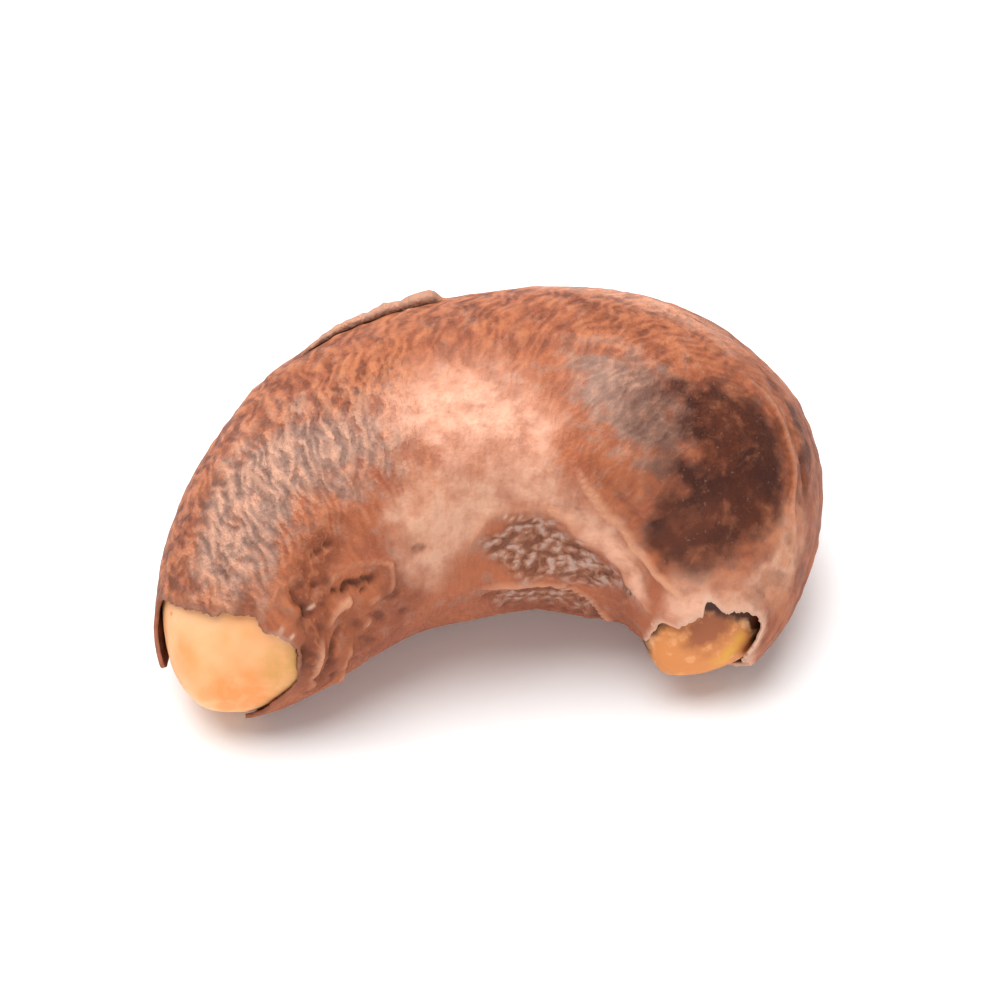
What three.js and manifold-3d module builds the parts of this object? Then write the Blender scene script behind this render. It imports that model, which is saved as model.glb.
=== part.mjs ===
// A roasted cashew kernel that still wears most of its papery skin, lying on its flat side.
// Millimetres, +Z up. The origin is under the middle of the nut, on the surface that it lies on.
// The crescent opens towards -Y, with the narrow leg at -X and the broad lobe at +X.
import * as THREE from "three";
import { mergeVertices } from "three/addons/utils/BufferGeometryUtils.js";
import Module from "manifold-3d";

const wasm = await Module();
wasm.setup();

// Driving dimensions
const spinePlan = [
  [-11.29, -8.42],
  [-7.8, -2.5],
  [-2.56, 0.92],
  [3.35, 1.55],
  [8.4, -1],
  [9.05, -6.6],
]; // the line through the middle of the nut, from the narrow leg's tip to the broad lobe's
const legHeading = 67.7; // the way the sections face at the leg's tip, in degrees from +X
const bend = 103.6; // how many degrees they turn over the spine, if it bent evenly
const bendGrowth = 46.2; // and how many more because it bends faster towards the lobe
const legHalfWidth = 6.38; // across the crescent, before the ends are rounded
const lobeHalfWidth = 6.99;
const lobeSwell = 0.36;
const middleFlatness = 0.86; // thickness over width in the middle of the crescent
const tipBluntness = 0.75; // 1 gives the tips of an ellipsoid, less gives blunter ones
const tipHeight = 3; // height of each tip's point above the surface
const restDepth = 0.17; // how far the resting spots are flattened
const skinWall = 0.3;
const skinGap = 0.15; // the roasted kernel has shrunk away from its skin by this much

const skinSegments = { around: 36, along: 46 };
const kernelSegments = { around: 32, along: 40 };

const degrees = THREE.MathUtils.degToRad;
const lerp = THREE.MathUtils.lerp;
const up = new THREE.Vector3(0, 0, 1);

const spine = new THREE.CatmullRomCurve3(
  spinePlan.map(([x, y]) => new THREE.Vector3(x, y, 0)),
  false,
  "catmullrom",
  0.5,
);
spine.arcLengthDivisions = 400;

// A smooth bump, 1 at its centre and fading over its width.
function bump(value, centre, width) {
  return Math.exp(-(((value - centre) / width) ** 2));
}

// The same bump on an angle in degrees, which wraps round the section.
function bumpAround(angle, centre, width) {
  const turn = THREE.MathUtils.euclideanModulo(angle - centre + 180, 360) - 180;
  return bump(turn, 0, width);
}

// The share of the spine's length at a latitude of the sphere that the nut is made from.
function shareAt(latitude) {
  const even = latitude / Math.PI;
  const round = (1 - Math.cos(latitude)) / 2;
  return lerp(even, round, 0.55);
}

// The crescent's section at a latitude: its middle, its outward side and its half sizes.
function sectionAt(latitude) {
  const share = shareAt(latitude);
  const cap = Math.max(Math.sin(latitude), 0) ** tipBluntness;
  const swell = lobeSwell * bump(share, 0.75, 0.15);
  const halfWidth = (lerp(legHalfWidth, lobeHalfWidth, share) + swell) * cap;
  const flatness = lerp(middleFlatness, 1, (2 * share - 1) ** 2);
  const halfThickness = halfWidth * flatness;
  const heading = degrees(legHeading - bend * share - bendGrowth * share ** 2);
  const outward = new THREE.Vector3(-Math.sin(heading), Math.cos(heading), 0);
  const middle = spine.getPointAt(share);
  middle.z = halfThickness + tipHeight * (1 - cap) ** 3 + archLift(share) - restDepth;
  return { share, halfWidth, halfThickness, outward, middle };
}

// Between its three resting spots, leg, crown and lobe, the underside clears the surface a little.
function archLift(share) {
  const firstSpot = 0.2;
  const spotSpacing = 0.3;
  if (share < firstSpot || share > 1 - firstSpot) return 0;
  return 0.12 * Math.sin((Math.PI * (share - firstSpot)) / spotSpacing) ** 2;
}

// Folds and hollows in millimetres. Angle 0 is the back of the crescent, 90 the top and 180 the inside.
function relief(share, angle) {
  const flattenedInside = -0.4 * bumpAround(angle, 180, 42) * bump(share, 0.52, 0.33);
  const scarHollow = -0.4 * bumpAround(angle, 158, 15) * bump(share, 0.62, 0.15);
  const lowerHollow = -0.3 * bumpAround(angle, 194, 12) * bump(share, 0.65, 0.13);
  const innerSeam = 0.22 * bumpAround(angle, 177, 8) * bump(share, 0.6, 0.22);
  const lowerFold = 0.35 * bumpAround(angle, 212, 15) * bump(share, 0.69, 0.13);
  const creaseAngle = 150 - 400 * (share - 0.84) ** 2;
  const creaseReach = bump(share, 0.8, 0.13);
  const crease = 0.35 * bumpAround(angle, creaseAngle, 9) * creaseReach;
  const creaseValley = -0.25 * bumpAround(angle, creaseAngle - 20, 12) * creaseReach;
  const backSeam = 0.18 * bumpAround(angle, 0, 6) * bump(share, 0.5, 0.42);
  const innerLip = 0.5 * bumpAround(angle, 176, 24) * bump(share, 0.118, 0.032);
  const lipValley = -0.3 * bumpAround(angle, 155, 22) * bump(share, 0.185, 0.03);
  const waver = Math.sin(degrees(4 * angle)) + 0.6 * Math.sin(degrees(7 * angle + 50));
  const legFolds = 0.07 * Math.sin(75 * share + 0.9 * waver) * bump(share, 0.25, 0.14);
  const lumps =
    0.13 * Math.sin(10 * share + 1) * Math.cos(degrees(2 * angle + 40)) +
    0.09 * Math.sin(19 * share + degrees(3 * angle));
  const clearOfRest = 1 - bumpAround(angle, 270, 35); // the underside stays even
  const hollows = flattenedInside + scarHollow + lowerHollow + lipValley;
  const inside = hollows + innerSeam + lowerFold + innerLip;
  return inside + backSeam + (crease + creaseValley + legFolds + lumps) * clearOfRest;
}

// A point of the outer skin, pushed out by height along the section's own radius.
function surfacePoint(latitude, angle, height = 0) {
  const section = sectionAt(latitude);
  const turn = degrees(angle);
  const edgeFade = Math.sin(latitude) ** 0.5; // the relief dies out at the two poles
  const radial = section.outward.clone().multiplyScalar(Math.cos(turn));
  radial.addScaledVector(up, Math.sin(turn));
  const point = section.middle.clone();
  point.addScaledVector(section.outward, section.halfWidth * Math.cos(turn));
  point.addScaledVector(up, section.halfThickness * Math.sin(turn));
  return point.addScaledVector(radial, relief(section.share, angle) * edgeFade + height);
}

// One layer of the nut: a sphere laid along the spine, then drawn in by inset all over.
function layerGeometry({ around, along }, inset) {
  const sphere = new THREE.SphereGeometry(1, around, along);
  sphere.deleteAttribute("normal");
  sphere.deleteAttribute("uv");
  const layer = mergeVertices(sphere);
  const place = layer.getAttribute("position");
  const vertex = new THREE.Vector3();
  for (let i = 0; i < place.count; i++) {
    vertex.fromBufferAttribute(place, i).normalize();
    const latitude = Math.acos(THREE.MathUtils.clamp(vertex.y, -1, 1));
    const angle = THREE.MathUtils.radToDeg(Math.atan2(vertex.z, vertex.x));
    place.setXYZ(i, ...surfacePoint(latitude, angle));
  }
  layer.computeVertexNormals();
  const normals = layer.getAttribute("normal");
  const normal = new THREE.Vector3();
  for (let i = 0; i < place.count; i++) {
    vertex.fromBufferAttribute(place, i);
    normal.fromBufferAttribute(normals, i);
    vertex.addScaledVector(normal, -inset);
    vertex.z = Math.max(vertex.z, inset);
    place.setXYZ(i, ...vertex);
  }
  layer.deleteAttribute("normal");
  return layer;
}

// The root of the seedling bulges through the torn tip of the lobe.
const rootBud = { middle: new THREE.Vector3(7.0, -6.1, 2.3), reach: 1.6, height: 1.15 };
rootBud.direction = new THREE.Vector3(-0.4, -0.85, -0.3).normalize();

function kernelGeometry(inset) {
  const kernel = layerGeometry(kernelSegments, inset);
  const place = kernel.getAttribute("position");
  const vertex = new THREE.Vector3();
  for (let i = 0; i < place.count; i++) {
    vertex.fromBufferAttribute(place, i);
    const push = rootBud.height * bump(vertex.distanceTo(rootBud.middle), 0, rootBud.reach);
    place.setXYZ(i, ...vertex.addScaledVector(rootBud.direction, push));
  }
  return kernel;
}

// A strip that stands on the skin along its back, from one latitude to another.
// rise gives its height at a share of its length, and sink how deep its root goes.
function backStrip({ from, to, angle, lean, thickness, rise, sink, steps }) {
  const strip = new THREE.BoxGeometry(1, 1, 1, steps, 3, 1);
  strip.deleteAttribute("normal");
  strip.deleteAttribute("uv");
  const merged = mergeVertices(strip);
  const place = merged.getAttribute("position");
  for (let i = 0; i < place.count; i++) {
    const alongStrip = place.getX(i) + 0.5;
    const upStrip = place.getY(i) + 0.5;
    const latitude = degrees(lerp(from, to, alongStrip));
    const height = lerp(-sink, rise(alongStrip), upStrip);
    const section = sectionAt(latitude);
    const radius = Math.max(section.halfWidth, 1);
    const across = place.getZ(i) * thickness + lean * Math.max(height, 0);
    const turned = angle + THREE.MathUtils.radToDeg(across / radius);
    place.setXYZ(i, ...surfacePoint(latitude, turned, height));
  }
  return merged;
}

// A tapering block whose outline, drawn in plan or in elevation, is torn out of the skin.
function tornBlock(outline, depth) {
  const shape = new THREE.Shape(outline.map(([x, y]) => new THREE.Vector2(x, y)));
  return new THREE.ExtrudeGeometry(shape, { depth, bevelEnabled: false });
}

// Seen from above: the skin is torn off the upper side of the narrow leg's tip.
const legTear = [
  [-14.2, -3.9],
  [-13.1, -4.3],
  [-12.7, -4.85],
  [-12.3, -5.2],
  [-11.8, -5.85],
  [-11.2, -6.05],
  [-10.8, -6.45],
  [-10.2, -6.45],
  [-9.7, -6.8],
  [-9.2, -6.7],
  [-8.7, -7.05],
  [-8.3, -6.95],
  [-7.9, -7.45],
  [-7.5, -7.45],
  [-7.3, -8.1],
  [-7.4, -13],
  [-8.6, -13],
  [-9.7, -13],
  [-11.6, -13],
  [-14.2, -13],
];
// A rim of skin stays below the tear. It is lowest in the middle and rises to both sides.
const legRim = { height: 0.4, middle: -10.9, halfWidth: 0.9, slope: 1.1 };

function legTearGeometry() {
  const block = tornBlock(legTear, 10);
  const place = block.getAttribute("position");
  for (let i = 0; i < place.count; i++) {
    if (place.getZ(i) > 5) continue;
    const aside = Math.abs(place.getX(i) - legRim.middle) - legRim.halfWidth;
    place.setZ(i, legRim.height + legRim.slope * Math.max(0, aside));
  }
  return block;
}

// Seen from the front: the ragged hole that the root bud has broken in the lobe's tip.
const lobeTear = [
  [5.5, 3.6],
  [5.8, 4.2],
  [6.3, 4.2],
  [6.6, 4.65],
  [7.1, 4.4],
  [7.4, 4.6],
  [7.7, 5.1],
  [8.1, 4.7],
  [8.6, 4.75],
  [9.2, 4.5],
  [9.95, 4.3],
  [9.9, 3.8],
  [9.4, 3.2],
  [8.8, 2.5],
  [8.2, 1.2],
  [7.4, 0.5],
  [6.4, 0.4],
  [5.5, 1.1],
  [5.1, 2.4],
];
const lobeTearBack = -4.7; // how far back the hole reaches
const lobeTearDepth = 6;

function lobeTearGeometry() {
  const block = tornBlock(lobeTear, lobeTearDepth);
  block.rotateX(Math.PI / 2); // the drawing's height becomes Z, and the block runs towards -Y
  return block.translate(0, lobeTearBack, 0);
}

// A closed geometry as a solid, and a solid as a geometry.
function solidOf(geometry) {
  const bare = geometry.clone();
  bare.deleteAttribute("normal");
  bare.deleteAttribute("uv");
  const merged = mergeVertices(bare, 1e-4);
  return new wasm.Manifold(
    new wasm.Mesh({
      numProp: 3,
      vertProperties: merged.getAttribute("position").array,
      triVerts: new Uint32Array(merged.index.array),
    }),
  );
}

function geometryOf(solid) {
  const mesh = solid.getMesh();
  const geometry = new THREE.BufferGeometry();
  geometry.setAttribute("position", new THREE.BufferAttribute(mesh.vertProperties, 3));
  geometry.setIndex(new THREE.BufferAttribute(mesh.triVerts, 1));
  geometry.computeVertexNormals();
  return geometry;
}

// The skin splits along the crescent's back: one edge stands up and a slit gapes beside it.
const splitEdge = {
  from: 63,
  to: 84.5,
  angle: 33,
  lean: 0,
  thickness: 0.32,
  rise: (along) => 0.15 + 0.5 * along ** 0.7,
  sink: 0.22,
  steps: 12,
};
const splitGap = {
  from: 66,
  to: 83,
  angle: 39,
  lean: 0,
  thickness: 0.3,
  rise: () => 0.6,
  sink: 0.42,
  steps: 12,
};

function skinGeometry() {
  const outside = solidOf(layerGeometry(skinSegments, 0));
  const inside = solidOf(layerGeometry(skinSegments, skinWall));
  const budRoom = solidOf(kernelGeometry(skinWall + 0.03)); // the bud has pushed its way through
  const skin = outside
    .subtract(inside)
    .subtract(solidOf(legTearGeometry()))
    .subtract(solidOf(lobeTearGeometry()))
    .subtract(budRoom)
    .subtract(solidOf(backStrip(splitGap)))
    .add(solidOf(backStrip(splitEdge)));
  return geometryOf(skin);
}

const nut = new THREE.Group();

function addPiece(name, geometry, color, roughness) {
  const material = new THREE.MeshStandardMaterial({ color, roughness, metalness: 0 });
  const piece = new THREE.Mesh(geometry, material);
  piece.name = name;
  nut.add(piece);
}

const kernelInset = skinWall + skinGap;
addPiece("kernel", geometryOf(solidOf(kernelGeometry(kernelInset))), 0xf0b178, 0.5);
addPiece("skin", skinGeometry(), 0xb5795c, 0.85);

export default nut;
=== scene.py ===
import math

import bpy
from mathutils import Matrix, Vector, noise


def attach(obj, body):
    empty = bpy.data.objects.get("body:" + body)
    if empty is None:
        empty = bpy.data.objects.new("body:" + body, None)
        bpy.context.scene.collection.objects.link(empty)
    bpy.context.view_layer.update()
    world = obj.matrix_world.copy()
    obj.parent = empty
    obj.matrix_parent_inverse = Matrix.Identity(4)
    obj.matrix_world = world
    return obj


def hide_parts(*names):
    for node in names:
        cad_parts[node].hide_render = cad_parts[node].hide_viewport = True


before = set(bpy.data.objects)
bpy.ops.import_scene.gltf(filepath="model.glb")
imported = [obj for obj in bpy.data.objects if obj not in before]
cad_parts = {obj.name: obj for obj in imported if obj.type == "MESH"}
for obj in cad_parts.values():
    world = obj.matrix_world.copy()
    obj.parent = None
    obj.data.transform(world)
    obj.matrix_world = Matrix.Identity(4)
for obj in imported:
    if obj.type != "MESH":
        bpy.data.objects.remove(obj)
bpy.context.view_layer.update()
mm = 0.001
noise.seed_set(2)  # noise_vector is seeded from the clock unless it is given a seed
print("stage 1: frame loaded")

# The nut's form, from the same named values as its solids. Lengths in mm, angles in degrees.
# share runs along the spine from the narrow leg's tip (0) to the broad lobe's (1).
# angle runs round the section: 0 the back of the crescent, 90 the top, 180 the inside, 270 the underside.
nutForm = {
    "spine": [(-11.29, -8.42), (-7.8, -2.5), (-2.56, 0.92), (3.35, 1.55), (8.4, -1.0), (9.05, -6.6)],
    "spineSteps": 400,
    "length": 31.0,  # of the spine, for patterns that follow the nut
    "legHeading": 67.7,
    "bend": 103.6,
    "bendGrowth": 46.2,
    "legHalfWidth": 6.38,
    "lobeHalfWidth": 6.99,
    "lobeSwell": 0.36,
    "middleFlatness": 0.86,
    "tipBluntness": 0.75,
    "tipHeight": 3.0,
    "restDepth": 0.17,
    "firstSpot": 0.2,
    "spotSpacing": 0.3,
    "archHeight": 0.12,
}


def lerp(start, end, part):
    return start + (end - start) * part


def bump(value, centre, width):  # 1 at the centre, fading over the width
    return math.exp(-(((value - centre) / width) ** 2))


def turnBetween(angle, other):  # shortest way round, -180 to 180
    return (angle - other + 180) % 360 - 180


def bumpAround(angle, centre, width):
    return bump(turnBetween(angle, centre), 0, width)


def easeBetween(low, high, value):  # 0 below low, 1 above high, smooth between
    part = min(max((value - low) / (high - low), 0), 1)
    return part * part * (3 - 2 * part)


def readTable(table, value):  # straight lines between (value, result) pairs
    for (low, first), (high, second) in zip(table, table[1:]):
        if value <= high:
            return lerp(first, second, min(max((value - low) / (high - low), 0), 1))
    return table[-1][1]


def splineThrough(points, place):
    last = len(points) - 1
    first = min(int(place * last), last - 1)
    part = place * last - first
    before = points[first - 1] if first > 0 else 2 * points[0] - points[1]
    after = points[first + 2] if first + 2 <= last else 2 * points[-1] - points[-2]
    here, there = points[first], points[first + 1]
    return 0.5 * (
        2 * here
        + (there - before) * part
        + (2 * before - 5 * here + 4 * there - after) * part**2
        + (3 * here - before - 3 * there + after) * part**3
    )


def measureSpine(form):  # points along the spine with their length from its start
    points = [Vector((x, y, 0)) for x, y in form["spine"]]
    line = [splineThrough(points, i / form["spineSteps"]) for i in range(form["spineSteps"] + 1)]
    lengths = [0.0]
    for one, two in zip(line, line[1:]):
        lengths.append(lengths[-1] + (two - one).length)
    return line, [length / lengths[-1] for length in lengths]


spineLine, spineShares = measureSpine(nutForm)
spineByShare = []  # the same points, evenly spaced by length
step = 0
for i in range(1001):
    while step < len(spineShares) - 2 and spineShares[step + 1] < i / 1000:
        step += 1
    part = (i / 1000 - spineShares[step]) / (spineShares[step + 1] - spineShares[step])
    spineByShare.append(spineLine[step].lerp(spineLine[step + 1], part))


def spineAt(share):
    place = min(max(share, 0), 1) * 1000
    first = min(int(place), 999)
    return spineByShare[first].lerp(spineByShare[first + 1], place - first)


def shareAt(latitude):  # latitude 0 is the leg's tip and 180 the lobe's
    return lerp(latitude / 180, (1 - math.cos(math.radians(latitude))) / 2, 0.55)


def archLift(share, form=nutForm):  # the underside clears the table between its three spots
    if share < form["firstSpot"] or share > 1 - form["firstSpot"]:
        return 0
    return form["archHeight"] * math.sin(math.pi * (share - form["firstSpot"]) / form["spotSpacing"]) ** 2


def sectionAt(latitude, form=nutForm):
    share = shareAt(latitude)
    cap = max(math.sin(math.radians(latitude)), 0) ** form["tipBluntness"]
    swell = form["lobeSwell"] * bump(share, 0.75, 0.15)
    halfWidth = (lerp(form["legHalfWidth"], form["lobeHalfWidth"], share) + swell) * cap
    halfThickness = halfWidth * lerp(form["middleFlatness"], 1, (2 * share - 1) ** 2)
    heading = math.radians(form["legHeading"] - form["bend"] * share - form["bendGrowth"] * share**2)
    outward = Vector((-math.sin(heading), math.cos(heading), 0))
    middle = spineAt(share)
    middle.z = halfThickness + form["tipHeight"] * (1 - cap) ** 3 + archLift(share) - form["restDepth"]
    return share, halfWidth, halfThickness, outward, middle


def formRelief(share, angle):  # the solids' own hollows, seams and lumps, in mm
    inside = -0.4 * bumpAround(angle, 180, 42) * bump(share, 0.52, 0.33)
    inside -= 0.4 * bumpAround(angle, 158, 15) * bump(share, 0.62, 0.15)
    inside -= 0.3 * bumpAround(angle, 194, 12) * bump(share, 0.65, 0.13)
    inside += 0.22 * bumpAround(angle, 177, 8) * bump(share, 0.6, 0.22)
    inside += 0.35 * bumpAround(angle, 212, 15) * bump(share, 0.69, 0.13)
    inside += 0.5 * bumpAround(angle, 176, 24) * bump(share, 0.118, 0.032)
    inside -= 0.3 * bumpAround(angle, 155, 22) * bump(share, 0.185, 0.03)
    creaseAngle = 150 - 400 * (share - 0.84) ** 2
    crease = 0.35 * bumpAround(angle, creaseAngle, 9) - 0.25 * bumpAround(angle, creaseAngle - 20, 12)
    crease *= bump(share, 0.8, 0.13)
    backSeam = 0.18 * bumpAround(angle, 0, 6) * bump(share, 0.5, 0.42)
    lumps = 0.13 * math.sin(10 * share + 1) * math.cos(math.radians(2 * angle + 40))
    lumps += 0.09 * math.sin(19 * share + math.radians(3 * angle))
    clearOfRest = 1 - bumpAround(angle, 270, 35)
    return inside + backSeam + (crease + lumps) * clearOfRest


def placeOnNut(latitude, angle, height=0.0):  # a point of the surface in mm, and the same on a straightened nut
    share, halfWidth, halfThickness, outward, middle = sectionAt(latitude)
    cosine, sine = math.cos(math.radians(angle)), math.sin(math.radians(angle))
    fade = math.sqrt(max(math.sin(math.radians(latitude)), 0))
    relief = formRelief(share, angle) * fade + height
    point = middle + outward * ((halfWidth + relief) * cosine)
    point.z += (halfThickness + relief) * sine
    straight = Vector((share * nutForm["length"], halfWidth * cosine, halfThickness * sine))
    return point, straight


def makeAttribute(mesh, name, kind, values):
    attribute = mesh.attributes.new(name, kind, "POINT")
    key = "vector" if kind == "FLOAT_VECTOR" else "value"
    for item, value in zip(attribute.data, values):
        setattr(item, key, value)


def deselectAll():
    for piece in bpy.context.selected_objects:
        piece.select_set(False)


def applyModifier(piece, kind, **settings):
    modifier = piece.modifiers.new(kind.title(), kind)
    for name, value in settings.items():
        setattr(modifier, name, value)
    bpy.context.view_layer.objects.active = piece
    bpy.ops.object.modifier_apply(modifier=modifier.name)


# The kernel: roasted nut flesh with its root bud pushing out of the lobe's tip.
kernel = {
    "segments": 176,
    "rings": 132,
    "inset": 0.45,  # under the outside of the skin
    "insetAtLeg": 0.22,  # where the torn skin still clings
    "insetAtLobe": 0.48,  # shrunk away from the hole's rim
    "insetAtSeam": 0.35,  # more, under the leg's deep seam
    "budMiddle": (6.8, -6.1, 2.3),
    "budPush": (-0.5, -0.8, -0.3),
    "budReach": 1.6,
    "budHeight": 1.3,
    "budShown": ((8.0, -6.4, 2.6), 2.3),  # middle and reach of the part that light and air have kept orange; beyond it the stain is deepened with painted shade
    "stripe": ((8.3, -6.9, 2.1), (9.9, -5.9, 4.1)),  # ends of a streak of yellow flesh beside the bud
    "stripeWidth": 0.45,
    "browned": ((8.0, -5.8, 4.3), 1.25),  # middle and reach of the bud's browned upper side
    "orange": ((-9.7, -7.9, 2.8), 1.3),  # and of two tinted places on the bare leg's tip
    "olive": ((-7.7, -7.4, 4.0), 1.2),
    "halvesGroove": 0.07,  # the line between its two halves
    "wrinkle": 0.03,
}


def makeKernel():
    deselectAll()
    bpy.ops.mesh.primitive_uv_sphere_add(segments=kernel["segments"], ring_count=kernel["rings"], radius=1)
    piece = bpy.context.object
    piece.name = piece.data.name = "nutKernel"
    vertices = piece.data.vertices
    latitudes, angles, straights = [], [], []
    for vertex in vertices:  # the sphere's top pole becomes the leg's tip
        latitudes.append(math.degrees(math.acos(min(max(vertex.co.normalized().z, -1), 1))))
        angles.append(math.degrees(math.atan2(vertex.co.y, vertex.co.x)))
    for vertex, latitude, angle in zip(vertices, latitudes, angles):
        vertex.co, straight = placeOnNut(latitude, angle)
        straights.append(straight)
    bpy.ops.object.mode_set(mode="EDIT")
    bpy.ops.mesh.select_all(action="SELECT")
    bpy.ops.mesh.normals_make_consistent(inside=False)
    bpy.ops.object.mode_set(mode="OBJECT")
    normals = [vertex.normal.copy() for vertex in vertices]
    budMiddle, budPush = Vector(kernel["budMiddle"]), Vector(kernel["budPush"]).normalized()
    tints = {"orange": [], "olive": [], "stripe": [], "browned": [], "stainAndPaintedShade": [], "bud": []}
    for i, vertex in enumerate(vertices):
        inset = lerp(kernel["insetAtLeg"], kernel["inset"], easeBetween(26, 48, latitudes[i]))
        inset = lerp(inset, kernel["insetAtLobe"], easeBetween(140, 160, latitudes[i]))
        inset += kernel["insetAtSeam"] * bumpAround(angles[i], 152, 28) * bump(latitudes[i], 34, 9)
        inset += kernel["wrinkle"] * noise.fractal(straights[i] * 0.9, 1.0, 2.0, 3)
        seam = bumpAround(angles[i], 0, 3) + bumpAround(angles[i], 180, 3)
        seam *= easeBetween(25, 60, latitudes[i]) * easeBetween(150, 120, latitudes[i])
        inset += kernel["halvesGroove"] * seam
        point = vertex.co - normals[i] * inset
        point.z = max(point.z, kernel["inset"])
        point += budPush * kernel["budHeight"] * bump((point - budMiddle).length, 0, kernel["budReach"])
        vertex.co = point * mm
        for name in ("orange", "olive", "browned"):
            middle, reach = kernel[name]
            tints[name].append(bump((point - Vector(middle)).length, 0, reach))
        start, end = (Vector(place) for place in kernel["stripe"])
        part = min(max((point - start).dot(end - start) / (end - start).length_squared, 0), 1)
        tints["stripe"].append(bump((point - start.lerp(end, part)).length, 0, kernel["stripeWidth"]))
        middle, reach = kernel["budShown"]
        # where the skin covers the kernel: brown residue and painted shade
        covered = easeBetween(0.75, 1.15, (point - Vector(middle)).length / reach)
        tints["stainAndPaintedShade"].append(covered * easeBetween(40, 60, latitudes[i]))
        tints["bud"].append((1 - covered) * easeBetween(120, 140, latitudes[i]))
    makeAttribute(piece.data, "straight", "FLOAT_VECTOR", straights)
    for name, values in tints.items():
        makeAttribute(piece.data, name, "FLOAT", values)
    bpy.ops.object.shade_smooth()
    return piece


# The skin: one papery sheet, torn at both tips and split along the back.
skin = {
    "stepsAlong": 206,
    "stepsAround": 230,
    "crowding": 0.3,  # how much closer the steps are beside the slit than opposite it
    "thickness": 0.17,
    "slit": {"angle": 43, "from": 0.315, "to": 0.475, "lift": 0.5, "sink": 0.05, "reach": 4.5, "gap": 0.5},
    "legTear": [  # (angle, latitude) of the torn edge round the leg's tip
        (0, 19), (8, 22.5), (16, 23.4), (40, 21.3), (54, 20.2), (80, 19.8), (101, 22.0), (113, 23.8),
        (118, 22.6), (124, 22.4), (134, 24.0), (142, 24.8), (150, 25.6), (160, 25.0), (172, 23.2),
        (183, 20), (194, 15.8), (218, 12.6), (232, 12.8), (240, 20), (262, 24), (300, 24), (330, 20),
        (339, 14), (350, 13), (356, 16), (360, 19),
    ],
    "lobeTear": [  # the same round the lobe's tip
        (0, 178.2), (17, 177.6), (30, 175.6), (38, 173.2), (46, 171.3), (60, 170.6), (79, 170.0),
        (95, 169.9), (103, 168.2), (109, 165.8), (114, 166.2), (121, 168.4), (130, 168.0), (142, 167.4),
        (149, 167), (153, 164.8), (157, 162.2), (165, 161.2), (176, 160.4), (190, 157.6), (211, 155),
        (235, 155.6), (262, 160.4), (290, 168.4), (320, 175), (345, 178), (360, 178.2),
    ],
    "legJag": 0.55,  # how ragged each tear is, in degrees of latitude
    "lobeJag": 0.6,
    "ripplePitch": 0.85,  # of the long ripples on the leg
    "rippleHeight": 0.12,
    "creaseHeight": 0.03,
    "lumpHeight": 0.055,
    "swellHeight": 0.06,  # broad and uneven, all over
    "grainHeight": 0.02,
    "scarDepth": 0.06,
    "scarUnevenness": 0.12,
    "crumbHeight": 0.08,
    "crumbRadius": 0.11,
    "crumpleHeight": 0.2,
    "mergeDistance": 0.004,  # for the two edges of the rolled sheet
}
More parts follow.
